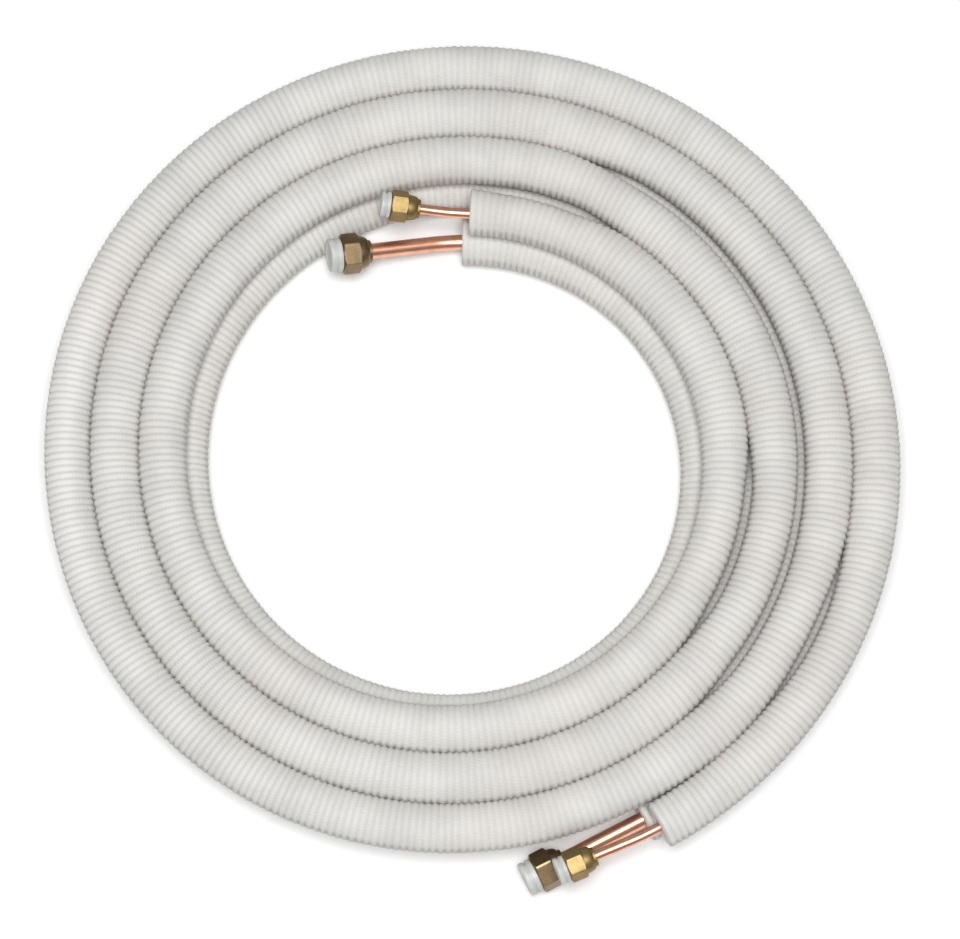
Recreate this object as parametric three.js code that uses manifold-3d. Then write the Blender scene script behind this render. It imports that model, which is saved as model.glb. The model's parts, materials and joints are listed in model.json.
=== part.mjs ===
import * as THREE from 'three';
import { mergeVertices } from 'three/addons/utils/BufferGeometryUtils.js';
import Module from 'manifold-3d';

const wasm = await Module();
wasm.setup();

// A mini split line set, in millimetres: two insulated copper lines wound
// into one flat coil, the thin liquid line lying on the thick suction line.
// Both lines end bare at each end of the coil, in a flare, a nut and a cap.
// Angles are in degrees about the coil's centre, from +X, seen from above.

// Copper and foam
const copperWall = 0.8;
const foamWall = { liquid: 10.4, suction: 9.8 };
const foamPlay = 0.33; // radial, between a pipe and its sleeve
const flareReach = { liquid: 1.38, suction: 1.85 }; // radial, past the pipe
const pipeDiameter = { liquid: 6.35, suction: 9.52 };

// The coil
const innerRadius = 144.5; // centre of the suction line at its inner end
const wholeTurns = 3;
const sleeveEnds = {
  suction: { outer: -63.4, inner: 89 },
  liquid: { outer: -62.5, inner: 87.2 },
};
const turnGap = 0.3; // between neighbouring turns of the suction line
const layerGap = 0.3; // between the suction line and the line on top of it
const lean = 8.3; // how far the liquid line lies outside the suction line
const leanGrowth = 1.25; // with each turn away from the inner end

// Where the hand-wound lines stray from their spirals: the angle, how far
// outwards, and how many degrees either way
const strays = {
  suction: [
    { at: 1169, by: -4.8, span: 100 },
  ],
  liquid: [
    { at: -62, by: -1.2, span: 35 },
    { at: 190, by: -2.4, span: 45 },
    { at: 495, by: 1.8, span: 45 },
    { at: 785, by: -1.6, span: 45 },
    { at: 950, by: 2, span: 45 },
    { at: 1150, by: -3.7, span: 60 },
  ],
};

// The bare ends: length of bare copper behind the nut, the bend that it
// takes on leaving the foam, and how the nut happens to be turned
const bendLength = 20;
const bareEnds = [
  { line: 'liquid', end: 'outer', bare: 41.5, turn: -5.5, rise: 0, spin: 20 },
  { line: 'suction', end: 'outer', bare: 52.5, turn: 0, rise: 0, spin: 10 },
  { line: 'liquid', end: 'inner', bare: 31, turn: -3.5, rise: 9, spin: 20 },
  { line: 'suction', end: 'inner', bare: 58, turn: 9, rise: 11, spin: 10 },
];

// Flare nuts, from the collar at the back to the hexagon in front
const nutSizes = {
  liquid: {
    acrossFlats: 17, length: 18, hexLength: 10.5, collar: 11.6, shoulder: 15.6, thread: 9.7,
  },
  suction: {
    acrossFlats: 22, length: 18.5, hexLength: 11, collar: 14.2, shoulder: 20.4, thread: 14.4,
  },
};
const collarLength = 1.6;
const boreClearance = 0.3; // radial, between a pipe and its nut
const seatDepth = 8; // from the back of a nut to its flare seat
const seatClearance = 0.3; // square to the flare
const hexChamfer = 1; // along the axis, on the corners of a hexagon

// Caps: a plug in the thread and a grooved rim in front of the nut
const capSizes = {
  liquid: { rim: 16, rimLength: 6 },
  suction: { rim: 20.5, rimLength: 7.5 },
};
const plugClearance = 0.3; // radial, between a plug and its thread
const capGap = 0.3; // between a rim and the nut's face
const plugGap = 0.6; // between a plug and the flare behind it
const grooveDepth = 0.8;
const grooveWidth = 1.2;
const rimRound = 0.9;

// Smoothness of the solids
const ringsPerTurn = 24;
const stubRings = 4;
const shortestStep = 3; // degrees, so that no ring crowds a sleeve's end
const sleeveSides = 12;
const boreSides = 8;
const pipeBoreSides = 6;
const nutSides = 18;
const flareSides = 16;

const copperLook = { color: 0xc97b58, roughness: 0.28, metalness: 1 };
const foamLook = { color: 0xdcdad4, roughness: 0.9, metalness: 0 };
const brassLook = {
  liquid: { color: 0xc9a45a, roughness: 0.3, metalness: 1 },
  suction: { color: 0xa98552, roughness: 0.38, metalness: 1 },
};
const capLook = { color: 0xf0efeb, roughness: 0.5, metalness: 0 };

const radians = (degrees) => (degrees * Math.PI) / 180;
const up = new THREE.Vector3(0, 0, 1);

const sleeveRadius = (line) => pipeDiameter[line] / 2 + foamWall[line];
const pitch = 2 * sleeveRadius('suction') + turnGap;
const innerAngle = wholeTurns * 360 + sleeveEnds.suction.inner;
const suctionHeight = sleeveRadius('suction') * Math.cos(Math.PI / sleeveSides);
const layerDistance = sleeveRadius('suction') + sleeveRadius('liquid') + layerGap;

function coilRadius(line, angle) {
  const turnsOut = (innerAngle - angle) / 360;
  const offset = line === 'liquid' ? lean + leanGrowth * turnsOut : 0;
  return strays[line].reduce(
    (radius, { at, by, span }) => radius + by * Math.exp(-(((angle - at) / span) ** 2)),
    innerRadius + pitch * turnsOut + offset,
  );
}

// The centre of a line at an angle of the spiral
function coilPoint(line, angle) {
  const radius = coilRadius(line, angle);
  const offset = radius - coilRadius('suction', angle);
  const lift = line === 'liquid' ? Math.sqrt(layerDistance ** 2 - offset ** 2) : 0;
  const turned = radians(angle);
  return new THREE.Vector3(
    radius * Math.cos(turned), radius * Math.sin(turned), suctionHeight + lift,
  );
}

// Rings stand in radial planes at the same angles in every turn, so that
// neighbouring turns keep their distance between rings too
function coilRings(line) {
  const first = sleeveEnds[line].outer;
  const last = wholeTurns * 360 + sleeveEnds[line].inner;
  const step = 360 / ringsPerTurn;
  const angles = [last];
  for (let angle = innerAngle - step; angle > first + shortestStep; angle -= step) {
    if (angle < last - shortestStep) angles.unshift(angle);
  }
  angles.unshift(first);
  return angles.map((angle) => ({
    point: coilPoint(line, angle),
    along: new THREE.Vector3(-Math.sin(radians(angle)), Math.cos(radians(angle)), 0),
  }));
}

// The way that a line leaves its coil at one end
function leaving(line, end) {
  const turns = end === 'inner' ? wholeTurns * 360 : 0;
  const angle = turns + sleeveEnds[line][end];
  const away = end === 'inner' ? 1 : -1;
  const start = coilPoint(line, angle);
  const heading = coilPoint(line, angle + away).sub(start).setZ(0).normalize();
  return { start, heading };
}

// A bare end: a bend just outside the foam, then straight through the nut
function bareEnd({ line, end, bare, turn, rise }) {
  const { start, heading } = leaving(line, end);
  const level = heading.clone().applyAxisAngle(up, radians(turn));
  const sideways = new THREE.Vector3().crossVectors(level, up);
  const direction = level.clone().applyAxisAngle(sideways, radians(rise));
  const rings = [];
  const point = start.clone();
  for (let ring = 1; ring <= stubRings; ring += 1) {
    const middle = heading.clone().lerp(direction, (ring - 0.5) / stubRings).normalize();
    point.addScaledVector(middle, bendLength / stubRings);
    const along = heading.clone().lerp(direction, ring / stubRings).normalize();
    rings.push({ point: point.clone(), along });
  }
  const nutBack = point.clone().addScaledVector(direction, bare - bendLength);
  return { rings, nutBack, direction };
}

// Where things lie along a nut's axis, from the back of the nut
function nutLayout(line) {
  const pipeRadius = pipeDiameter[line] / 2;
  const flareStart = seatDepth + seatClearance * Math.SQRT2 - boreClearance;
  const flareEnd = flareStart + flareReach[line];
  return { pipeRadius, flareStart, flareEnd, flareRadius: pipeRadius + flareReach[line] };
}

// A path through given rings, whose sections all stand upright
class RingPath extends THREE.Curve {
  constructor(rings) {
    super();
    this.rings = rings;
  }

  ringAt(share) {
    return this.rings[Math.round(share * (this.rings.length - 1))];
  }

  getPointAt(share, target = new THREE.Vector3()) {
    return target.copy(this.ringAt(share).point);
  }

  getPoint(share, target) {
    return this.getPointAt(share, target);
  }

  computeFrenetFrames() {
    const tangents = this.rings.map((ring) => ring.along);
    const normals = tangents.map((along) => up.clone().addScaledVector(along, -along.z).normalize());
    const binormals = tangents.map((along, i) => new THREE.Vector3().crossVectors(along, normals[i]));
    return { tangents, normals, binormals };
  }
}

function polygon(Kind, radius, sides) {
  const corners = [];
  for (let corner = 0; corner < sides; corner += 1) {
    const angle = (2 * Math.PI * (corner + 0.5)) / sides;
    corners.push(new THREE.Vector2(radius * Math.cos(angle), radius * Math.sin(angle)));
  }
  return new Kind(corners);
}

function tube(rings, outer, outerSides, inner, innerSides) {
  const section = polygon(THREE.Shape, outer, outerSides);
  section.holes.push(polygon(THREE.Path, inner, innerSides));
  return new THREE.ExtrudeGeometry(section, {
    steps: rings.length - 1, bevelEnabled: false, extrudePath: new RingPath(rings),
  });
}

function solid(geometry, matrix = new THREE.Matrix4()) {
  const bare = geometry.clone();
  bare.deleteAttribute('normal');
  bare.deleteAttribute('uv');
  const merged = mergeVertices(bare.applyMatrix4(matrix));
  return new wasm.Manifold(new wasm.Mesh({
    numProp: 3,
    vertProperties: new Float32Array(merged.attributes.position.array),
    triVerts: new Uint32Array(merged.index.array),
  }));
}

function meshOf(body) {
  const { vertProperties, triVerts } = body.getMesh();
  const geometry = new THREE.BufferGeometry();
  geometry.setAttribute('position', new THREE.BufferAttribute(vertProperties, 3));
  geometry.setIndex(new THREE.BufferAttribute(triVerts, 1));
  geometry.computeVertexNormals();
  return geometry;
}

function turned(profile, sides) {
  const points = profile.map(([radius, height]) => new THREE.Vector2(radius, height));
  return new THREE.LatheGeometry(points, sides);
}

// Nut parts lie along +Y, starting at the back of the nut
function nutPlace({ nutBack, direction }, spin) {
  const level = new THREE.Vector3().crossVectors(direction, up).normalize();
  const top = new THREE.Vector3().crossVectors(level, direction);
  const basis = new THREE.Matrix4().makeBasis(level, direction, top);
  const twist = new THREE.Matrix4().makeRotationY(radians(spin));
  return new THREE.Matrix4().makeTranslation(nutBack).multiply(basis).multiply(twist);
}

// The 45 degree flare on the end of a pipe, with its root inside the wall
function flare(line) {
  const { pipeRadius, flareStart, flareEnd, flareRadius } = nutLayout(line);
  const root = 0.05;
  const inner = pipeRadius - copperWall - root;
  const lip = flareRadius - copperWall * Math.SQRT2;
  return turned([
    [inner, flareStart - copperWall * 2],
    [pipeRadius + root, flareStart - copperWall * 2],
    [pipeRadius + root, flareStart + root],
    [flareRadius, flareEnd],
    [lip, flareEnd],
    [inner, flareEnd - (lip - inner)],
    [inner, flareStart - copperWall * 2],
  ], flareSides);
}

function pipe(line, coil, ends) {
  const { pipeRadius, flareStart } = nutLayout(line);
  const tips = ends.map(({ nutBack, direction }) => ({
    point: nutBack.clone().addScaledVector(direction, flareStart), along: direction,
  }));
  const [outer, inner] = ends;
  const outwards = [...outer.rings, tips[0]].reverse();
  const start = outwards.map(({ point, along }) => ({ point, along: along.clone().negate() }));
  const rings = [...start, ...coil, ...inner.rings, tips[1]];
  const length = solid(tube(rings, pipeRadius, boreSides, pipeRadius - copperWall, pipeBoreSides));
  return ends.reduce((body, one) => body.add(solid(flare(line), nutPlace(one, 0))), length);
}

function nut(line) {
  const { acrossFlats, length, hexLength, collar, shoulder, thread } = nutSizes[line];
  const { pipeRadius } = nutLayout(line);
  const bore = (pipeRadius + boreClearance) / Math.cos(Math.PI / nutSides);
  const threadRadius = thread / 2 / Math.cos(Math.PI / nutSides);
  const corner = acrossFlats / Math.sqrt(3);
  const hexStart = length - hexLength;
  const domeRise = (shoulder - collar) / 2;
  const dome = [30, 60, 90].map((degrees) => [
    collar / 2 + domeRise * Math.sin(radians(degrees)),
    hexStart - (hexStart - collarLength) * Math.cos(radians(degrees)),
  ]);
  const chamfered = corner - hexChamfer * Math.sqrt(3);
  const form = solid(turned([
    [bore, 0],
    [collar / 2, 0],
    [collar / 2, collarLength],
    ...dome,
    [chamfered, hexStart],
    [corner * 1.02, hexStart + hexChamfer],
    [corner * 1.02, length - hexChamfer],
    [chamfered, length],
    [threadRadius, length],
    [threadRadius, seatDepth + threadRadius - bore],
    [bore, seatDepth],
    [bore, 0],
  ], nutSides));
  const across = new THREE.CylinderGeometry(corner, corner, length * 1.2, 6);
  return form.intersect(solid(across, new THREE.Matrix4().makeTranslation(0, length / 2, 0)));
}

function cap(line) {
  const { rim, rimLength } = capSizes[line];
  const { length, thread } = nutSizes[line];
  const plug = thread / 2 - plugClearance;
  const back = length + capGap;
  const front = back + rimLength;
  const grooveStart = back + (rimLength - grooveWidth) / 2;
  return turned([
    [0, nutLayout(line).flareEnd + plugGap],
    [plug, nutLayout(line).flareEnd + plugGap],
    [plug, back],
    [rim / 2, back],
    [rim / 2, grooveStart],
    [rim / 2 - grooveDepth, grooveStart],
    [rim / 2 - grooveDepth, grooveStart + grooveWidth],
    [rim / 2, grooveStart + grooveWidth],
    [rim / 2, front - rimRound],
    [rim / 2 - rimRound, front],
    [0, front],
  ], nutSides);
}

function named(name, geometry, look) {
  const mesh = new THREE.Mesh(geometry, new THREE.MeshStandardMaterial(look));
  mesh.name = name;
  return mesh;
}

const lineSet = new THREE.Group();
for (const line of ['suction', 'liquid']) {
  const coil = coilRings(line);
  const bore = pipeDiameter[line] / 2 + foamPlay;
  const foam = tube(coil, sleeveRadius(line), sleeveSides, bore, boreSides);
  lineSet.add(named(`${line}_sleeve`, foam, foamLook));

  const ends = bareEnds.filter((one) => one.line === line);
  const placed = ends.map(bareEnd);
  lineSet.add(named(`${line}_pipe`, meshOf(pipe(line, coil, placed)), copperLook));

  ends.forEach(({ end, spin }, i) => {
    const fitting = new THREE.Group();
    fitting.applyMatrix4(nutPlace(placed[i], spin));
    fitting.add(named(`${line}_nut_${end}`, meshOf(nut(line)), brassLook[line]));
    fitting.add(named(`${line}_cap_${end}`, cap(line), capLook));
    lineSet.add(fitting);
  });
}

// The origin is on the floor, under the middle of the whole set
const extent = new THREE.Box3().setFromObject(lineSet, true);
const middle = extent.getCenter(new THREE.Vector3());
lineSet.position.set(-middle.x, -middle.y, -extent.min.z);

export default lineSet;
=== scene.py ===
import json
import math

import bmesh
import bpy
import numpy as np
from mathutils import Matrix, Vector


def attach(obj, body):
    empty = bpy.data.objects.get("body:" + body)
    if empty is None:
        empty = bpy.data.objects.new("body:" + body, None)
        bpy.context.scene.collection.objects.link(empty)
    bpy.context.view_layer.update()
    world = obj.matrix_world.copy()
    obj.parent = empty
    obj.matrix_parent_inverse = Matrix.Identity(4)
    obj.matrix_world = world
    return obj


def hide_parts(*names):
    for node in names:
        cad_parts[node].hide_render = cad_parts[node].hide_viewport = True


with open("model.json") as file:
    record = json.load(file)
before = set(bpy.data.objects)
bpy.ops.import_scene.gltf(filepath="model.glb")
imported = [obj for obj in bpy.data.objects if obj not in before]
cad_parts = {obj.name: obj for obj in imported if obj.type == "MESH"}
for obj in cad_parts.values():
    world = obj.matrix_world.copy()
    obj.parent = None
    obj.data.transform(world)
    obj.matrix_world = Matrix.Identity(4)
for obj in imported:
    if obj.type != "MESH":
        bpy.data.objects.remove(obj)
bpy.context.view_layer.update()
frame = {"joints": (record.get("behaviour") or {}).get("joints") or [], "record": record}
joints = {joint["name"]: joint for joint in frame["joints"]}
mounts = {mount["name"]: mount for mount in frame["record"]["mounts"]}
scene = bpy.context.scene
mm = 0.001

# The two lines of the coil: the thin liquid line lies on the thick suction line
coil = {
    "innerRadius": 144.5 * mm, # centre of the suction line at its inner end
    "wholeTurns": 3,
    "turnGap": 0.3 * mm,
    "layerGap": 0.3 * mm,
    "lean": 8.3 * mm, # liquid line outside the suction line
    "leanGrowth": 1.25 * mm, # with each turn outwards
    "floorSides": 12, # the solid's flat underside sets the height of the coil
    "pathStep": 3, # degrees
}
lines = {
    "suction": {
        "pipe": 9.52 * mm, "foam": 9.8 * mm, "outer": -63.4, "inner": 89,
        "strays": [(1169, -4.8 * mm, 100)], # angle, how far outwards, degrees either way
    },
    "liquid": {
        "pipe": 6.35 * mm, "foam": 10.4 * mm, "outer": -62.5, "inner": 87.2,
        "strays": [
            (-62, -1.2 * mm, 35), (190, -2.4 * mm, 45), (495, 1.8 * mm, 45),
            (785, -1.6 * mm, 45), (950, 2 * mm, 45), (1150, -3.7 * mm, 60),
        ],
    },
}
coilCentre = Vector((-8.768 * mm, 3.055 * mm, 0))


def sleeveRadius(line):
    return lines[line]["pipe"] / 2 + lines[line]["foam"]


def coilRadius(line, angle):
    turnsOut = (360 * coil["wholeTurns"] + lines["suction"]["inner"] - angle) / 360
    radius = coil["innerRadius"] + (2 * sleeveRadius("suction") + coil["turnGap"]) * turnsOut
    if line == "liquid":
        radius += coil["lean"] + coil["leanGrowth"] * turnsOut
    strays = lines[line]["strays"]
    return radius + sum(by * math.exp(-(((angle - at) / span) ** 2)) for at, by, span in strays)


def coilPoint(line, angle):
    # centre of a line at an angle of its spiral
    radius = coilRadius(line, angle)
    height = sleeveRadius("suction") * math.cos(math.pi / coil["floorSides"])
    if line == "liquid":
        apart = sleeveRadius("suction") + sleeveRadius("liquid") + coil["layerGap"]
        height += math.sqrt(apart**2 - (radius - coilRadius("suction", angle)) ** 2)
    turned = math.radians(angle)
    return coilCentre + Vector((radius * math.cos(turned), radius * math.sin(turned), height))


def sleeveAngles(line):
    first = lines[line]["outer"]
    last = 360 * coil["wholeTurns"] + lines[line]["inner"]
    return np.linspace(first, last, round((last - first) / coil["pathStep"]) + 1)


class Value:
    # a socket that can be reckoned with: each operation adds a Math node
    def __init__(self, nodes, socket):
        self.nodes, self.socket = nodes, socket

    def math(self, operation, *others):
        node = self.nodes.add("ShaderNodeMath", {"operation": operation}, dict(enumerate((self, *others))))
        return Value(self.nodes, node.outputs[0])

    def __add__(self, other): return self.math("ADD", other)
    def __radd__(self, other): return self.math("ADD", other)
    def __sub__(self, other): return self.math("SUBTRACT", other)
    def __rsub__(self, other): return (self * -1).math("ADD", other)
    def __mul__(self, other): return self.math("MULTIPLY", other)
    def __rmul__(self, other): return self.math("MULTIPLY", other)
    def __truediv__(self, other): return self.math("DIVIDE", other)
    def __pow__(self, other): return self.math("POWER", other)
    def __abs__(self): return self.math("ABSOLUTE")

    def cos(self): return self.math("COSINE")
    def sin(self): return self.math("SINE")

    def step(self, low, high):
        # 0 below low and 1 above high, smooth between
        settings = {"interpolation_type": "SMOOTHSTEP"}
        inputs = {"Value": self, "From Min": low, "From Max": high}
        node = self.nodes.add("ShaderNodeMapRange", settings, inputs)
        return Value(self.nodes, node.outputs[0])


class Nodes:
    # a node tree and the one way that nodes are added to it
    def __init__(self, tree):
        self.tree = tree

    def give(self, socket, given):
        # links a socket to another, or sets its value
        given = getattr(given, "socket", given)
        if isinstance(given, bpy.types.NodeSocket):
            self.tree.links.new(given, socket)
        else:
            socket.default_value = given

    def add(self, kind, settings=None, inputs=None):
        node = self.tree.nodes.new(kind)
        for key, setting in (settings or {}).items():
            setattr(node, key, setting)
        for key, given in (inputs or {}).items():
            self.give(node.inputs[key], given)
        return node

    def value(self, kind, output, settings=None, inputs=None):
        return Value(self, self.add(kind, settings, inputs).outputs[output])

    def noise(self, vector, scale, detail=3, roughness=0.55):
        inputs = {"Vector": vector, "Scale": scale, "Detail": detail, "Roughness": roughness}
        return self.value("ShaderNodeTexNoise", 0, {}, inputs)

    def blend(self, factor, first, second):
        node = self.add("ShaderNodeMix", {"data_type": "RGBA"})
        for index, given in ((0, factor), (6, first), (7, second)):
            self.give(node.inputs[index], given)
        return node.outputs[2]

    def vector(self, x=0, y=0, z=0):
        return self.add("ShaderNodeCombineXYZ", {}, {0: x, 1: y, 2: z}).outputs[0]

    def parts(self, vector):
        node = self.add("ShaderNodeSeparateXYZ", {}, {0: vector})
        return [Value(self, output) for output in node.outputs]

    def stored(self, name, output="Fac"):
        return self.value("ShaderNodeAttribute", output, {"attribute_name": name})

    def bump(self, height, distance, normal=None):
        inputs = {"Height": height, "Distance": distance, "Strength": 1.0}
        if normal is not None:
            inputs["Normal"] = normal
        return self.add("ShaderNodeBump", {}, inputs).outputs[0]


def newMaterial(name, colour):
    # a material, its nodes and a function that fills its shader's sockets
    material = bpy.data.materials.new(name)
    material.use_nodes = True
    material.diffuse_color = (*colour, 1)
    nodes = Nodes(material.node_tree)
    shader = material.node_tree.nodes["Principled BSDF"]

    def fill(sockets):
        for key, given in sockets.items():
            nodes.give(shader.inputs[key], given)

    return material, nodes, fill


foamLook = {
    "light": (0.7, 0.69, 0.66, 1),
    "dim": (0.635, 0.625, 0.6, 1),
    "peach": (0.7, 0.615, 0.57, 1),
    "pale": (0.8, 0.79, 0.77, 1), # painted highlight: lighter foam on the outer turn at the far left, where the light falls brightest
    # painted shade in the rib grooves
    "groove": (0.38, 0.365, 0.35, 1),
    "flankShade": (0.36, 0.33, 0.31, 1), # painted shade on the sides of each turn, where the rims and the valleys between turns fall dark
    "cut": (0.72, 0.71, 0.69, 1),
    "peachShares": (0.12, 0.4), # everywhere, and more at the lower left
    "paintedHighlightShare": 0.6,
    "grooveShadeShares": (0.1, 0.2), # painted shade in the rib grooves: some everywhere, and more at the coil's left and right, where the light falls across the ribs
    "flankShadeShares": (0.25, 0.4), # everywhere, and more in the grooves
    "lowerLeft": (50 * mm, 260 * mm), # each tint grows over this range of places
    "farLeft": (190 * mm, 250 * mm),
    "outerTurn": (232 * mm, 244 * mm),
    "sides": (20 * mm, 200 * mm),
    "flankShadeRange": (0.82, 0.98), # of the sleeve's radius
    "cutRange": (0.9, 0.94),
    "mottleScale": 38,
    "patchScale": 7,
    "wrinkleScale": 420,
    "grainScale": 1600,
    "rows": 44, # embossed rows around the sleeve
    "embossShares": (0.7, 0.3, 0.9), # of rows, tucks and wrinkles
    "emboss": 0.15 * mm,
    "crease": 0.16 * mm,
    "grain": 0.06 * mm,
    "rough": 0.5,
    "roughMore": 0.2,
    "gloss": 0.35,
}


def foamMaterial(line):
    look = foamLook
    material, nodes, fill = newMaterial(f"{line}Foam", look["light"][:3])
    along = nodes.stored("along")
    rib = nodes.stored("rib")
    across, upwards, _ = nodes.parts(nodes.stored("section", "Vector"))
    around = upwards.math("ARCTAN2", across)
    radius = (across * across + upwards * upwards).math("SQRT")
    cut = 1 - radius.step(*(sleeveRadius(line) * share for share in look["cutRange"]))
    unrolled = nodes.vector(along, across, upwards)
    place = nodes.add("ShaderNodeTexCoord").outputs["Object"]
    x, y, _ = nodes.parts(place)

    mottle = nodes.noise(unrolled, look["mottleScale"], 4)
    patches = nodes.noise(place, look["patchScale"], 2)
    lowerLeft = (x * -1 - y * 0.6).step(*look["lowerLeft"])
    outside = (x * x + y * y).math("SQRT").step(*look["outerTurn"])
    left = outside * (x * -1).step(*look["farLeft"])
    sidewaysShade = abs(x).step(*look["sides"])
    colour = nodes.blend(mottle.step(0.35, 0.68), look["light"], look["dim"])
    share, more = look["peachShares"]
    peach = patches.step(0.42, 0.68) * (share + lowerLeft * more)
    colour = nodes.blend(peach, colour, look["peach"])
    # painted highlight: the outer turn at the far left is made lighter, as if lit more brightly
    colour = nodes.blend(left * look["paintedHighlightShare"], colour, look["pale"])
    groove = (rib * (2 * math.pi)).cos() * 0.5 + 0.5
    crease = groove**3
    share, more = look["grooveShadeShares"]
    # painted shade: the rib grooves are darkened, more at the coil's left and right where light falls
    # across the ribs
    colour = nodes.blend(crease * (share + more * sidewaysShade) * (1 - cut), colour, look["groove"])
    # painted shade: the sides of each turn are darkened, more in the rib grooves, as if shaded in the
    # valleys between turns
    flankShade = (abs(across) / sleeveRadius(line)).step(*look["flankShadeRange"])
    share, more = look["flankShadeShares"]
    colour = nodes.blend(flankShade * (share + more * groove) * (1 - cut), colour, look["flankShade"])
    colour = nodes.blend(cut, colour, look["cut"])

    # the rows are staggered from one rib to the next, as stitches are
    stagger = rib.math("FLOOR") * math.pi
    rows = (around * look["rows"] + stagger).cos() * 0.5 + 0.5
    tucks = (rib * (4 * math.pi) + mottle * 3).cos() * 0.5 + 0.5
    grain = nodes.noise(unrolled, look["grainScale"], 2, 0.6)
    wrinkles = nodes.noise(nodes.vector(along * 0.35, across, upwards), look["wrinkleScale"], 3, 0.6)
    ofRows, ofTucks, ofWrinkles = look["embossShares"]
    emboss = (rows * ofRows + tucks * ofTucks + wrinkles * ofWrinkles) * (1 - cut)
    relief = nodes.bump(emboss, look["emboss"])
    relief = nodes.bump((1 - crease) * (1 - cut), look["crease"], relief)
    relief = nodes.bump(grain, look["grain"], relief)
    fill({
        "Base Color": colour,
        "Roughness": look["rough"] + mottle * look["roughMore"] + cut * look["roughMore"],
        "Specular IOR Level": look["gloss"],
        "Normal": relief,
    })
    return material


metalLooks = {
    "copper": {
        "bright": (0.93, 0.52, 0.36, 1), "deep": (0.82, 0.39, 0.26, 1), "stain": (0.5, 0.21, 0.14, 1),
        "rough": 0.19, "roughMore": 0.12, "streaks": 0.45,
    },
    "liquidBrass": {
        "bright": (0.36, 0.26, 0.115, 1), "deep": (0.28, 0.2, 0.085, 1), "stain": (0.16, 0.11, 0.05, 1),
        "rough": 0.38, "roughMore": 0.14, "streaks": 0.2,
    },
    "suctionBrass": {
        "bright": (0.27, 0.195, 0.11, 1), "deep": (0.2, 0.145, 0.08, 1), "stain": (0.1, 0.07, 0.04, 1),
        "rough": 0.28, "roughMore": 0.14, "streaks": 0.2,
    },
}


metalMarks = {
    "drawnScale": 2600, # of the lines along a drawn pipe
    "drawnStretch": 0.02, # along the pipe, against 1 across it
    "turnedScale": 4200, # of the lines around a turned nut
    "turnedStretch": 0.03, # across the nut, against 1 along it
    "cloudScale": 160,
    "speckScale": 900,
    "specks": 0.5,
    "cloudRough": 0.1,
    "depth": 0.02 * mm,
}


def metalMaterial(name, drawn):
    look = metalLooks[name]
    material, nodes, fill = newMaterial(name, look["bright"][:3])
    along = nodes.stored("along")
    across, upwards, _ = nodes.parts(nodes.stored("section", "Vector"))
    if drawn:
        stretched = nodes.vector(along * metalMarks["drawnStretch"], across, upwards)
        marks = nodes.noise(stretched, metalMarks["drawnScale"], 3, 0.6)
    else:
        stretch = metalMarks["turnedStretch"]
        stretched = nodes.vector(along, across * stretch, upwards * stretch)
        marks = nodes.noise(stretched, metalMarks["turnedScale"], 3, 0.6)
    place = nodes.vector(along, across, upwards)
    cloud = nodes.noise(place, metalMarks["cloudScale"], 4, 0.6)
    specks = nodes.noise(place, metalMarks["speckScale"], 2, 0.5)
    colour = nodes.blend(cloud.step(0.35, 0.7), look["bright"], look["deep"])
    colour = nodes.blend(specks.step(0.6, 0.76) * metalMarks["specks"], colour, look["stain"])
    colour = nodes.blend(marks.step(0.52, 0.7) * look["streaks"], colour, look["stain"])
    fill({
        "Base Color": colour,
        "Metallic": 1.0,
        "Roughness": look["rough"] + look["roughMore"] * marks + metalMarks["cloudRough"] * cloud,
        "Normal": nodes.bump(marks + cloud * 0.6, metalMarks["depth"]),
    })
    return material


capLook = {
    "milk": (0.6, 0.61, 0.59, 1),
    "shade": (0.51, 0.52, 0.5, 1),
    "cloudScale": 130,
    "grainScale": 1500,
    "grain": 0.03 * mm,
    "rough": 0.36,
    "roughMore": 0.16,
    "milkiness": 0.15,
    "milkDepth": 4 * mm,
}


def capMaterial():
    look = capLook
    material, nodes, fill = newMaterial("milkyPlastic", look["milk"][:3])
    place = nodes.add("ShaderNodeTexCoord").outputs["Object"]
    cloud = nodes.noise(place, look["cloudScale"], 3)
    grain = nodes.noise(place, look["grainScale"], 2)
    fill({
        "Base Color": nodes.blend(cloud.step(0.35, 0.7), look["milk"], look["shade"]),
        "Roughness": look["rough"] + look["roughMore"] * cloud,
        "Subsurface Weight": look["milkiness"],
        "Subsurface Radius": (look["milkDepth"],) * 3,
        "Normal": nodes.bump(grain, look["grain"]),
    })
    return material


sleeveShape = {
    "ribPitch": 4.15 * mm,
    "crest": 0.15 * mm, # outside the solid's radius
    "depth": 0.78 * mm, # of the grooves between ribs
    "shoulder": 0.03, # share of a rib that its shoulders move towards the groove
    "squash": 0.24, # most that the foam widens where turns press on each other
    "press": 0.6 * mm, # how far a pressed side goes past the middle between two turns
    "gaps": [(-44, -12), (309, 430), (676, 724), (772, 812)], # degrees along the outer of two turns
    "ringsPerRib": 4,
    "sides": 21,
    "boreSides": 16,
    "floor": 0.05 * mm,
    "unevenness": 0.35 * mm,
    "unevennessScale": 55,
    "boreClearance": 0.33 * mm, # between the foam and its pipe
    "endRun": 12, # degrees over which a pressed side or an open gap begins
}


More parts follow.
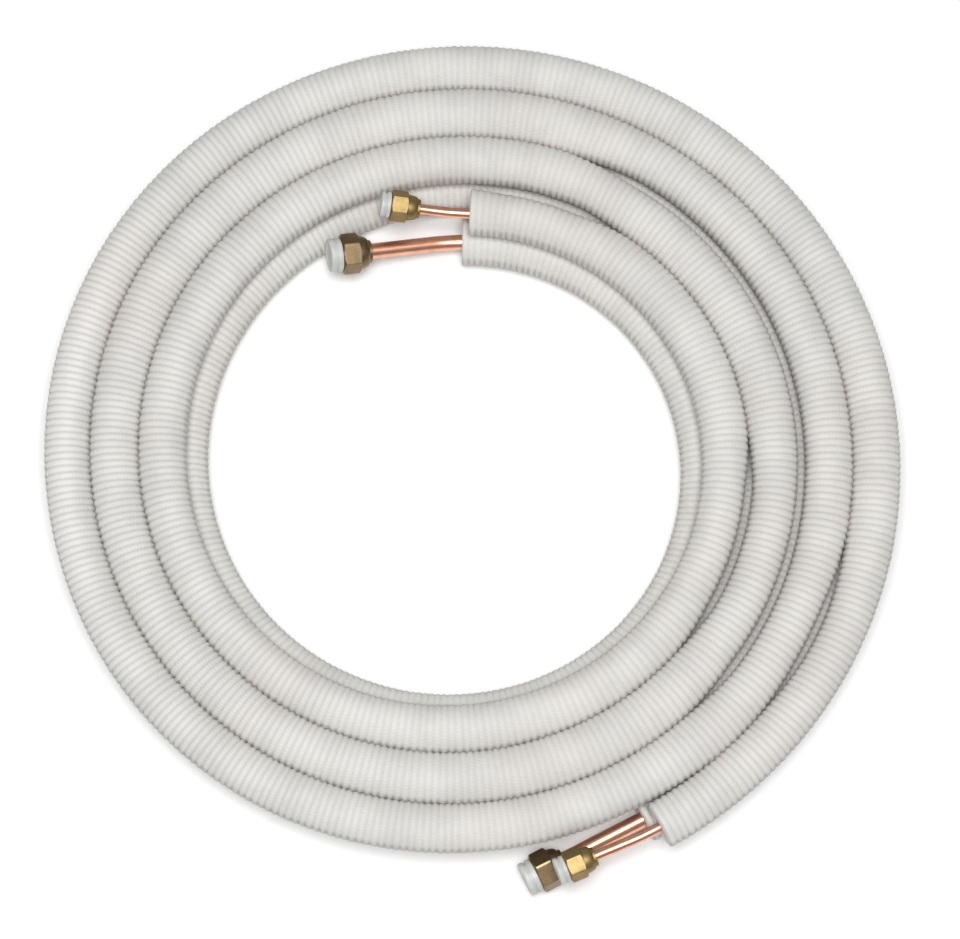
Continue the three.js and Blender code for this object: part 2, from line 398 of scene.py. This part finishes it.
def sleeveTree():
    # sweeps a ribbed foam tube along the path that it is given
    tree = bpy.data.node_groups.new("RibbedSleeve", "GeometryNodeTree")
    face = tree.interface
    face.new_socket("Path", in_out="INPUT", socket_type="NodeSocketGeometry")
    for name, kind in (
        ("Radius", "Float"), ("Bore Radius", "Float"), ("Rib Pitch", "Float"), ("Crest", "Float"),
        ("Rib Depth", "Float"), ("Shoulder", "Float"), ("Unevenness", "Float"), ("Floor", "Float"),
        ("Rings Per Rib", "Int"), ("Sides", "Int"), ("Bore Sides", "Int"), ("Middle", "Vector"),
        ("Material", "Material"),
    ):
        face.new_socket(name, in_out="INPUT", socket_type=f"NodeSocket{kind}")
    face.new_socket("Sleeve", in_out="OUTPUT", socket_type="NodeSocketGeometry")
    nodes = Nodes(tree)
    given = nodes.add("NodeGroupInput").outputs
    number = {name: Value(nodes, given[name]) for name in ("Radius", "Rib Pitch", "Crest", "Rib Depth",
              "Shoulder", "Unevenness", "Floor", "Rings Per Rib")}

    path = nodes.add("GeometryNodeMeshToCurve", {}, {0: given["Path"]}).outputs[0]
    length = nodes.value("GeometryNodeCurveLength", 0, {}, {0: path})
    ribs = (length / number["Rib Pitch"]).math("ROUND")
    count = ribs * number["Rings Per Rib"] + 1
    inputs = {"Curve": path, "Count": count}
    rings = nodes.add("GeometryNodeResampleCurve", {"mode": "COUNT"}, inputs).outputs[0]
    rings = nodes.add("GeometryNodeSetCurveNormal", {"mode": "Z_UP"}, {"Curve": rings}).outputs[0]

    index = nodes.value("GeometryNodeInputIndex", 0)
    rib = index / number["Rings Per Rib"]
    phase = rib.math("FRACT")
    lengthAt = nodes.value("GeometryNodeSplineParameter", "Length")

    def keep(geometry, name, kind, stored):
        inputs = {"Geometry": geometry, "Name": name, "Value": stored}
        return nodes.add("GeometryNodeStoreNamedAttribute", {"data_type": kind}, inputs).outputs[0]

    def recall(name, kind):
        settings = {"data_type": kind}
        return nodes.add("GeometryNodeInputNamedAttribute", settings, {"Name": name}).outputs[0]

    def vectorMath(operation, inputs, output=0):
        return nodes.add("ShaderNodeVectorMath", {"operation": operation}, inputs).outputs[output]

    position = nodes.add("GeometryNodeInputPosition").outputs[0]
    tangent = nodes.add("GeometryNodeInputTangent").outputs[0]
    rings = keep(rings, "rib", "FLOAT", rib)
    rings = keep(rings, "along", "FLOAT", lengthAt)
    # shoulders stand closer to their groove, which makes the ribs round and the grooves narrow
    shift = ((phase - 0.5) * (2 * math.pi)).sin() * number["Shoulder"] * number["Rib Pitch"]
    moved = vectorMath("SCALE", {0: tangent, "Scale": shift})
    rings = nodes.add("GeometryNodeSetPosition", {}, {"Geometry": rings, "Offset": moved}).outputs[0]
    rings = keep(rings, "centre", "FLOAT_VECTOR", position)

    def outline(radius, sides):
        inputs = {"Resolution": given[sides], "Radius": given[radius]}
        circle = nodes.add("GeometryNodeCurvePrimitiveCircle", {"mode": "RADIUS"}, inputs).outputs[0]
        return keep(circle, "section", "FLOAT_VECTOR", position)

    wall = nodes.add("GeometryNodeCurveToMesh", {}, {0: rings, 1: outline("Radius", "Sides")}).outputs[0]
    centre = recall("centre", "FLOAT_VECTOR")
    outwards = vectorMath("NORMALIZE", {0: vectorMath("SUBTRACT", {0: position, 1: centre})})
    ribAt = Value(nodes, recall("rib", "FLOAT")).math("FRACT")
    fall = 0.5 + (ribAt * (2 * math.pi)).cos() * 0.5
    noise = nodes.noise(position, sleeveShape["unevennessScale"], 2) - 0.5
    rise = number["Crest"] - number["Rib Depth"] * fall + number["Unevenness"] * noise
    swell = vectorMath("SCALE", {0: outwards, "Scale": rise})
    # each side of a turn is pressed out towards the next turn
    sideX, sideY, _ = nodes.parts(vectorMath("SUBTRACT", {0: position, 1: centre}))
    side = nodes.vector(sideX, sideY, 0.0)
    away = vectorMath("SUBTRACT", {0: centre, 1: given["Middle"]})
    outer = Value(nodes, vectorMath("DOT_PRODUCT", {0: side, 1: away}, 1)).math("GREATER_THAN", 0)
    inPress, outPress = (Value(nodes, recall(name, "FLOAT")) for name in ("pressedIn", "pressedOut"))
    pressed = vectorMath("SCALE", {0: side, "Scale": inPress + (outPress - inPress) * outer})
    moved = vectorMath("ADD", {0: swell, 1: pressed})
    wall = nodes.add("GeometryNodeSetPosition", {}, {"Geometry": wall, "Offset": moved}).outputs[0]
    x, y, z = nodes.parts(position)
    flat = nodes.vector(x, y, z.math("MAXIMUM", number["Floor"]))
    wall = nodes.add("GeometryNodeSetPosition", {}, {"Geometry": wall, "Position": flat}).outputs[0]

    bare = keep(keep(path, "rib", "FLOAT", 0.0), "along", "FLOAT", lengthAt)
    bare = nodes.add("GeometryNodeSetCurveNormal", {"mode": "Z_UP"}, {"Curve": bare}).outputs[0]
    inputs = {0: bare, 1: outline("Bore Radius", "Bore Sides")}
    bore = nodes.add("GeometryNodeCurveToMesh", {}, inputs).outputs[0]
    bore = nodes.add("GeometryNodeFlipFaces", {}, {0: bore}).outputs[0]
    joined = nodes.add("GeometryNodeJoinGeometry")
    tree.links.new(bore, joined.inputs[0])
    tree.links.new(wall, joined.inputs[0])
    real = nodes.add("GeometryNodeRealizeInstances", {}, {0: joined.outputs[0]}).outputs[0]
    inputs = {"Geometry": real, "Material": given["Material"]}
    done = nodes.add("GeometryNodeSetMaterial", {}, inputs).outputs[0]
    nodes.add("NodeGroupOutput", {}, {0: done})
    return tree


def runTree(name, tree, source, inputs):
    # gives the tree its inputs and turns what it makes into a plain mesh
    holder = bpy.data.objects.new(f"{name}Path", source)
    scene.collection.objects.link(holder)
    modifier = holder.modifiers.new("shape", "NODES")
    modifier.node_group = tree
    sockets = {item.name: item.identifier for item in tree.interface.items_tree if item.in_out == "INPUT"}
    for key, given in inputs.items():
        modifier[sockets[key]] = given
    bpy.context.view_layer.update()
    shaped = holder.evaluated_get(bpy.context.evaluated_depsgraph_get())
    mesh = bpy.data.meshes.new_from_object(shaped)
    mesh.name = name
    bpy.data.objects.remove(holder)
    made = bpy.data.objects.new(name, mesh)
    scene.collection.objects.link(made)
    return made


def closeEnds(piece):
    # joins the wall to the bore at both cut ends
    work = bmesh.new()
    work.from_mesh(piece.data)
    edges = [edge for edge in work.edges if edge.is_boundary]
    left = set(edges)
    loops = []
    while left:
        loop, reach = [], [left.pop()]
        while reach:
            edge = reach.pop()
            loop.append(edge)
            for vert in edge.verts:
                for other in vert.link_edges:
                    if other in left:
                        left.remove(other)
                        reach.append(other)
        loops.append(loop)

    def middle(loop):
        return sum((vert.co for edge in loop for vert in edge.verts), Vector()) / (2 * len(loop))

    first = loops.pop()
    while True:
        mate = min(loops, key=lambda loop: (middle(loop) - middle(first)).length)
        loops.remove(mate)
        bmesh.ops.bridge_loops(work, edges=first + mate)
        if not loops:
            break
        first = loops.pop()
    bmesh.ops.recalc_face_normals(work, faces=work.faces)
    for shown in work.faces:
        shown.smooth = True
    work.to_mesh(piece.data)
    work.free()


def pressedWidth(line, angle, neighbour):
    # share by which the foam widens until it meets the neighbouring turn
    first, last = lines[line]["outer"], 360 * coil["wholeTurns"] + lines[line]["inner"]
    run = sleeveShape["endRun"]
    meets = min(max((neighbour - first) / run, 0), 1) * min(max((last - neighbour) / run, 0), 1)
    apart = abs(coilRadius(line, neighbour) - coilRadius(line, angle)) / 2
    between = (angle + neighbour) / 2 - 180
    gap = 0
    for start, end in sleeveShape["gaps"]:
        gap = max(gap, min(1, max(0, min(between - start, end - between) / run)))
    pressed = min((apart + sleeveShape["press"]) / sleeveRadius(line) - 1, sleeveShape["squash"])
    return meets * pressed * (1 - gap)


def makeSleeve(line, tree, material):
    angles = sleeveAngles(line)
    path = bpy.data.meshes.new(f"{line}Path")
    points = [coilPoint(line, angle) for angle in angles]
    path.from_pydata(points, [(i, i + 1) for i in range(len(points) - 1)], [])
    for name, turn in (("pressedIn", 360), ("pressedOut", -360)):
        widths = [pressedWidth(line, angle, angle + turn) for angle in angles]
        path.attributes.new(name, "FLOAT", "POINT").data.foreach_set("value", widths)
    piece = runTree(f"{line}Sleeve", tree, path, {
        "Radius": sleeveRadius(line),
        "Bore Radius": lines[line]["pipe"] / 2 + sleeveShape["boreClearance"],
        "Rib Pitch": sleeveShape["ribPitch"],
        "Crest": sleeveShape["crest"],
        "Rib Depth": sleeveShape["depth"],
        "Shoulder": sleeveShape["shoulder"],
        "Unevenness": sleeveShape["unevenness"],
        "Floor": sleeveShape["floor"],
        "Rings Per Rib": sleeveShape["ringsPerRib"],
        "Sides": sleeveShape["sides"],
        "Bore Sides": sleeveShape["boreSides"],
        "Middle": coilCentre,
        "Material": material,
    })
    closeEnds(piece)
    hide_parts(f"{line}_sleeve")
    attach(piece, "coil")
    print(f"{line} sleeve: {len(piece.data.polygons)} faces")


def ringSurface(name, rings, material, ends="loop"):
    # joins rings of points into one closed surface; each ring is (points, along, sections)
    sides = len(rings[0][0])
    points = [point for ring in rings for point in ring[0]]
    along = [ring[1] for ring in rings for _ in ring[0]]
    sections = [section for ring in rings for section in ring[2]]
    faces = []
    spans = len(rings) if ends == "loop" else len(rings) - 1
    for i in range(spans):
        near, far = i * sides, (i + 1) % len(rings) * sides
        for side in range(sides):
            after = (side + 1) % sides
            faces.append((near + side, near + after, far + after, far + side))
    if ends == "poles":
        faces.append(tuple(range(sides)))
        faces.append(tuple(range(len(points) - sides, len(points))))
    mesh = bpy.data.meshes.new(name)
    mesh.from_pydata(points, [], faces)
    mesh.attributes.new("along", "FLOAT", "POINT").data.foreach_set("value", along)
    flat = [number for section in sections for number in section]
    mesh.attributes.new("section", "FLOAT_VECTOR", "POINT").data.foreach_set("vector", flat)
    mesh.materials.append(material)
    work = bmesh.new()
    work.from_mesh(mesh)
    bmesh.ops.recalc_face_normals(work, faces=work.faces)
    for shown in work.faces:
        shown.smooth = True
    work.to_mesh(mesh)
    work.free()
    mesh.update()
    piece = bpy.data.objects.new(name, mesh)
    scene.collection.objects.link(piece)
    return piece


def sharpen(piece, degrees):
    # keeps edges crisp where two faces meet at more than this angle
    work = bmesh.new()
    work.from_mesh(piece.data)
    for edge in work.edges:
        if len(edge.link_faces) == 2 and edge.calc_face_angle() > math.radians(degrees):
            edge.smooth = False
    work.to_mesh(piece.data)
    work.free()


def ring(centre, along, direction, radius, sides, shape=None):
    # one ring of points around an axis, whose section stands upright
    level = direction.cross(Vector((0, 0, 1))).normalized()
    top = level.cross(direction)
    points, sections = [], []
    for side in range(sides):
        angle = 2 * math.pi * side / sides
        reach = min(radius, shape(angle)) if shape else radius
        x, y = reach * math.cos(angle), reach * math.sin(angle)
        points.append(centre + level * x + top * y)
        sections.append((x, y, 0))
    return points, along, sections


fittings = {
    "liquid": {
        "bare": {"outer": 41.5 * mm, "inner": 31 * mm},
        "length": 18 * mm, "hexLength": 10.5 * mm, "collar": 11.6 * mm, "shoulder": 15.6 * mm,
        "thread": 9.7 * mm, "flareReach": 1.38 * mm, "rim": 16 * mm, "rimLength": 6 * mm,
    },
    "suction": {
        "bare": {"outer": 52.5 * mm, "inner": 58 * mm},
        "length": 18.5 * mm, "hexLength": 11 * mm, "collar": 14.2 * mm, "shoulder": 20.4 * mm,
        "thread": 14.4 * mm, "flareReach": 1.85 * mm, "rim": 20.5 * mm, "rimLength": 7.5 * mm,
    },
}
fit = {
    "collarLength": 1.6 * mm, "boreClearance": 0.3 * mm, "seatDepth": 8 * mm, "seatClearance": 0.3 * mm,
    "hexChamfer": 1 * mm, "plugClearance": 0.3 * mm, "capGap": 0.3 * mm, "plugGap": 0.6 * mm,
}


def nutAxis(line, end):
    # back of the nut, its direction and the way from its middle to one of its flats
    joint = joints[f"{line}_{end}_nut_spin"]
    mount = mounts[f"{line}_{end}_nut_flat"]
    middle, direction = Vector(joint["pos_m"]), Vector(joint["axis"]).normalized()
    size = fittings[line]
    back = middle - direction * (size["length"] - size["hexLength"] / 2)
    return back, direction, Vector(mount["pos_m"]) - middle


def flareAt(line):
    start = fit["seatDepth"] + fit["seatClearance"] * math.sqrt(2) - fit["boreClearance"]
    return start, start + fittings[line]["flareReach"]


pipeShape = {
    "wall": 0.8 * mm, "bend": 20 * mm, "steps": 12, "straightStep": 4 * mm, "sides": 32,
    "softEdge": 0.12 * mm,
    "sharpEdges": 40, # degrees
}


def stubPath(line, end):
    # centre line of a bare end, from the foam to the flare
    away = 1 if end == "inner" else -1
    turns = 360 * coil["wholeTurns"] if end == "inner" else 0
    angle = turns + lines[line][end]
    start = coilPoint(line, angle)
    heading = coilPoint(line, angle + away) - start
    heading.z = 0
    heading.normalize()
    back, direction, _ = nutAxis(line, end)
    bent = back - direction * (fittings[line]["bare"][end] - pipeShape["bend"])
    reach = (bent - start).length / 3
    control = [start, start + heading * reach, bent - direction * reach, bent]
    path = []
    for step in range(1, pipeShape["steps"] + 1):
        t = step / pipeShape["steps"]
        weights = ((1 - t) ** 3, 3 * t * (1 - t) ** 2, 3 * t * t * (1 - t), t**3)
        path.append(sum((w * p for w, p in zip(weights, control)), Vector()))
    straight = back + direction * flareAt(line)[0] - bent
    count = max(2, round(straight.length / pipeShape["straightStep"]))
    path += [bent + straight * (step / count) for step in range(1, count + 1)]
    return path, direction


def makePipe(line, material):
    outerStub, outerWay = stubPath(line, "outer")
    innerStub, innerWay = stubPath(line, "inner")
    middle = [coilPoint(line, angle) for angle in sleeveAngles(line)]
    path = outerStub[::-1] + middle + innerStub
    ways = [(after - before).normalized() for before, after in zip(path, path[2:])]
    ways = [-outerWay, *ways, innerWay]
    lengths = [0]
    for before, after in zip(path, path[1:]):
        lengths.append(lengths[-1] + (after - before).length)
    radius, wall, soft = lines[line]["pipe"] / 2, pipeShape["wall"], pipeShape["softEdge"]
    reach = fittings[line]["flareReach"]
    lip = wall * math.sqrt(2)

    def atEnd(index, way, out, wide):
        return ring(path[index] + way * out, lengths[index] + abs(out), way, wide, pipeShape["sides"])

    outer = [ring(p, s, w, radius, pipeShape["sides"]) for p, s, w in zip(path, lengths, ways)]
    bore = [ring(p, s, w, radius - wall, pipeShape["sides"]) for p, s, w in zip(path, lengths, ways)]

    def flare(index, way, sign):
        # outer cone, lip and inner cone of the flare at one end, as rings along the pipe's own way
        wide = radius + reach
        steps = [(reach - soft, wide - soft), (reach, wide - soft), (reach + soft / 2, wide - 2 * soft),
                 (reach + soft / 2, wide - lip + soft), (reach, wide - lip)]
        steps.append((reach - (wide - lip - radius + wall), radius - wall))
        return [atEnd(index, way, sign * out, r) for out, r in steps]

    last = len(path) - 1
    rings = outer + flare(last, ways[last], 1) + bore[:0:-1] + flare(0, ways[0], -1)[::-1]
    piece = ringSurface(f"{line}Pipe", rings, material)
    sharpen(piece, pipeShape["sharpEdges"])
    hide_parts(f"{line}_pipe")
    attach(piece, "coil")
    print(f"{line} pipe: {lengths[-1]:.2f} m")


nutShape = {
    "sides": 96,
    "edgeSoft": 0.25 * mm,
    "boreEdge": 0.3 * mm,
    "boreStart": 0.4 * mm, # from the nut's back
    "mouth": 0.9 * mm, # wider than the thread, at the nut's front
    "mouthStep": 0.35 * mm,
    "mouthDepth": 0.5 * mm,
    "threadDepth": 0.3 * mm,
    "threadRings": 13,
    "threadStart": 1 * mm, # behind the nut's front
    "threadEnd": 0.4 * mm, # before the seat
    "sharpEdges": 22, # degrees
}


def makeNut(line, end, material):
    back, direction, flat = nutAxis(line, end)
    size, halfFlats = fittings[line], flat.length
    corner = halfFlats / math.cos(math.pi / 6)
    level = direction.cross(Vector((0, 0, 1))).normalized()
    top = level.cross(direction)
    flatAngle = math.atan2(flat.dot(top), flat.dot(level))
    soft = nutShape["edgeSoft"]

    def hexagon(angle):
        turned = (angle - flatAngle + math.pi / 6) % (math.pi / 3) - math.pi / 6
        return min(halfFlats / math.cos(turned), corner - soft * 0.6)

    radius = lines[line]["pipe"] / 2
    bore = radius + fit["boreClearance"]
    thread = size["thread"] / 2
    hexStart = size["length"] - size["hexLength"]
    chamfered = corner - fit["hexChamfer"] * math.sqrt(3)
    collar, shoulder = size["collar"] / 2, size["shoulder"] / 2
    dome = []
    for degrees in range(0, 91, 15):
        turned = math.radians(degrees)
        dome.append((
            hexStart - (hexStart - fit["collarLength"]) * math.cos(turned),
            collar + (shoulder - collar) * math.sin(turned),
        ))
    front = size["length"]
    shares = (0, 0.15, 0.3, 0.45, 0.6, 0.75, 0.9, 1)
    chamfer = fit["hexChamfer"]
    chamferSteps = [(share * chamfer, chamfered + share * (corner - chamfered)) for share in shares]
    profile = [(0.0, bore + nutShape["boreEdge"]), (0.0, collar - soft), (soft, collar)]
    profile += [(fit["collarLength"] * 0.7, collar)]
    profile += dome
    profile += [(hexStart + 0.01 * mm, shoulder + 0.05 * mm)]
    profile += [(hexStart + out, wide) for out, wide in chamferSteps]
    hexEnd = front - chamfer
    inside = hexStart + chamfer
    profile += [(inside + (hexEnd - inside) * share / 4, corner) for share in (1, 2, 3)]
    profile += [(front - out, wide) for out, wide in reversed(chamferSteps)]
    profile += [(front, thread + nutShape["mouth"])]
    profile += [(front - nutShape["mouthDepth"], thread + nutShape["mouthStep"])]
    seat = fit["seatDepth"] + thread - bore
    first, last = front - nutShape["threadStart"], seat + nutShape["threadEnd"]
    for i, depth in enumerate(np.linspace(first, last, nutShape["threadRings"])):
        profile += [(depth, thread + (nutShape["threadDepth"] if i % 2 else 0))]
    profile += [(seat, thread), (fit["seatDepth"], bore), (nutShape["boreStart"], bore)]
    rings = [
        ring(back + direction * out, out, direction, wide, nutShape["sides"], hexagon)
        for out, wide in profile
    ]
    piece = ringSurface(f"{line}Nut{end.capitalize()}", rings, material)
    sharpen(piece, nutShape["sharpEdges"])
    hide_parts(f"{line}_nut_{end}")
    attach(piece, f"{line}_{end}_nut")
    print(f"{line} nut, {end} end: {len(rings)} rings")


capShape = {
    "sides": 64,
    "round": 0.9 * mm,
    "edge": 0.25 * mm,
    "plugEdge": 0.5 * mm,
    "groove": 0.8 * mm,
    "grooveWidth": 1.2 * mm,
    "grooveSlope": 0.1 * mm,
    "dish": 0.6 * mm,
    "dishShares": (0.72, 0.66, 0.3), # of the rim's radius
    "pole": 0.05 * mm, # radius at which the middle is closed
    "sharpEdges": 40, # degrees
}


def makeCap(line, end, material):
    back, direction, _ = nutAxis(line, end)
    size = fittings[line]
    plug = size["thread"] / 2 - fit["plugClearance"]
    rimBack = size["length"] + fit["capGap"]
    rimFront = rimBack + size["rimLength"]
    plugStart = flareAt(line)[1] + fit["plugGap"]
    wide, soft = size["rim"] / 2, capShape["round"]
    grooveAt = rimBack + (size["rimLength"] - capShape["grooveWidth"]) / 2

    def rounded(out, radius, fromDegrees, toDegrees, reach):
        # an arc of the profile about (out, radius)
        angles = np.radians(np.linspace(fromDegrees, toDegrees, 5))
        return [(out + reach * math.sin(a), radius + reach * math.cos(a)) for a in angles]

    small, pole, edge = capShape["edge"], capShape["pole"], capShape["plugEdge"]
    profile = [(plugStart, pole), (plugStart, plug * 0.5), (plugStart, plug - edge)]
    profile += [(plugStart + edge, plug), (rimBack, plug)]
    profile += rounded(rimBack + small, wide - small, -90, 0, small)
    profile += rounded(grooveAt - small, wide - small, 0, 90, small)
    grooveEnd, slope = grooveAt + capShape["grooveWidth"], capShape["grooveSlope"]
    profile += [(grooveAt + slope, wide - capShape["groove"])]
    profile += [(grooveEnd - slope, wide - capShape["groove"])]
    profile += rounded(grooveEnd + small, wide - small, -90, 0, small)
    profile += rounded(rimFront - soft, wide - soft, 0, 90, soft)
    dishEdge, dishFoot, dishMiddle = (wide * share for share in capShape["dishShares"])
    dishDepth = rimFront - capShape["dish"]
    profile += [(rimFront, dishEdge), (dishDepth, dishFoot), (dishDepth, dishMiddle), (dishDepth, pole)]
    rings = [ring(back + direction * out, out, direction, r, capShape["sides"]) for out, r in profile]
    piece = ringSurface(f"{line}Cap{end.capitalize()}", rings, material, "poles")
    sharpen(piece, capShape["sharpEdges"])
    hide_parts(f"{line}_cap_{end}")
    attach(piece, f"{line}_{end}_nut")
    print(f"{line} cap, {end} end: {len(rings)} rings")


copper = metalMaterial("copper", True)
plastic = capMaterial()
sleeve = sleeveTree()
for line in ("suction", "liquid"):
    makeSleeve(line, sleeve, foamMaterial(line))
    makePipe(line, copper)
    brass = metalMaterial(f"{line}Brass", False)
    for end in ("outer", "inner"):
        makeNut(line, end, brass)
        makeCap(line, end, plastic)
print("pieces: done")

studio = {
    "floorSize": 12,
    "floorColour": (0.97, 0.97, 0.965, 1),
    "floorShade": 0.985, # share of its colour that its darkest clouds keep
    "floorCloudScale": 3,
    "zenith": 0.32,
    "horizon": 0.12,
    "zenithFrom": 0.75, # height on the dome above which it is at its brightest
    "keyPower": 80,
    "keyPlace": (0.0, -0.5, 2.95),
    "keySize": 1.2,
}


def makeFloor():
    half = studio["floorSize"] / 2
    mesh = bpy.data.meshes.new("floor")
    corners = [(-half, -half, 0), (half, -half, 0), (half, half, 0), (-half, half, 0)]
    mesh.from_pydata(corners, [], [(0, 1, 2, 3)])
    material, nodes, fill = newMaterial("paleFloor", studio["floorColour"][:3])
    place = nodes.add("ShaderNodeTexCoord").outputs["Object"]
    soft = nodes.noise(place, studio["floorCloudScale"], 2)
    shade = tuple(studio["floorShade"] * part for part in studio["floorColour"][:3]) + (1,)
    colour = nodes.blend(soft, studio["floorColour"], shade)
    fill({"Base Color": colour, "Roughness": 0.9, "Specular IOR Level": 0.1})
    mesh.materials.append(material)
    floor = bpy.data.objects.new("floor", mesh)
    scene.collection.objects.link(floor)


def makeWorld():
    # a pale dome, brighter overhead than at the horizon
    world = bpy.data.worlds.new("studio")
    scene.world = world
    world.use_nodes = True
    nodes = Nodes(world.node_tree)
    background = world.node_tree.nodes["Background"]
    upwards = nodes.parts(nodes.add("ShaderNodeTexCoord").outputs["Generated"])[2]
    height = upwards.step(0.0, studio["zenithFrom"])
    strength = studio["horizon"] + height * (studio["zenith"] - studio["horizon"])
    world.node_tree.links.new(strength.socket, background.inputs["Strength"])
    background.inputs["Color"].default_value = (1, 1, 1, 1)


def makeKeyLight():
    lamp = bpy.data.lights.new("keyLight", "AREA")
    lamp.energy, lamp.size = studio["keyPower"], studio["keySize"]
    holder = bpy.data.objects.new("keyLight", lamp)
    holder.location = studio["keyPlace"]
    holder.rotation_euler = (-Vector(studio["keyPlace"])).to_track_quat("-Z", "Y").to_euler()
    scene.collection.objects.link(holder)


photo = {
    "width": 960, # pixels
    "mmPerPixel": 0.6, # at the height of the top layer
    "distance": 1.95,
    "tilt": 14.3, # degrees from straight down
    "aim": (13.45 * mm, -12.1 * mm), # from the coil's centre
    "levelAt": 540, # degrees along the thin line, at whose height it aims
    "sensor": 36,
}


def makeCamera():
    camera = bpy.data.cameras.new("camera")
    camera.sensor_width = photo["sensor"]
    seen = photo["width"] * photo["mmPerPixel"] * mm
    camera.lens = photo["sensor"] * photo["distance"] / seen
    holder = bpy.data.objects.new("camera", camera)
    tilt = math.radians(photo["tilt"])
    target = coilCentre + Vector((*photo["aim"], coilPoint("liquid", photo["levelAt"]).z))
    back = Vector((0, -math.sin(tilt), math.cos(tilt)))
    holder.location = target + back * photo["distance"]
    holder.rotation_euler = (tilt, 0, 0)
    scene.collection.objects.link(holder)
    scene.camera = holder


makeFloor()
makeWorld()
makeKeyLight()
makeCamera()
scene.view_settings.view_transform = "Standard"
print("studio: done")
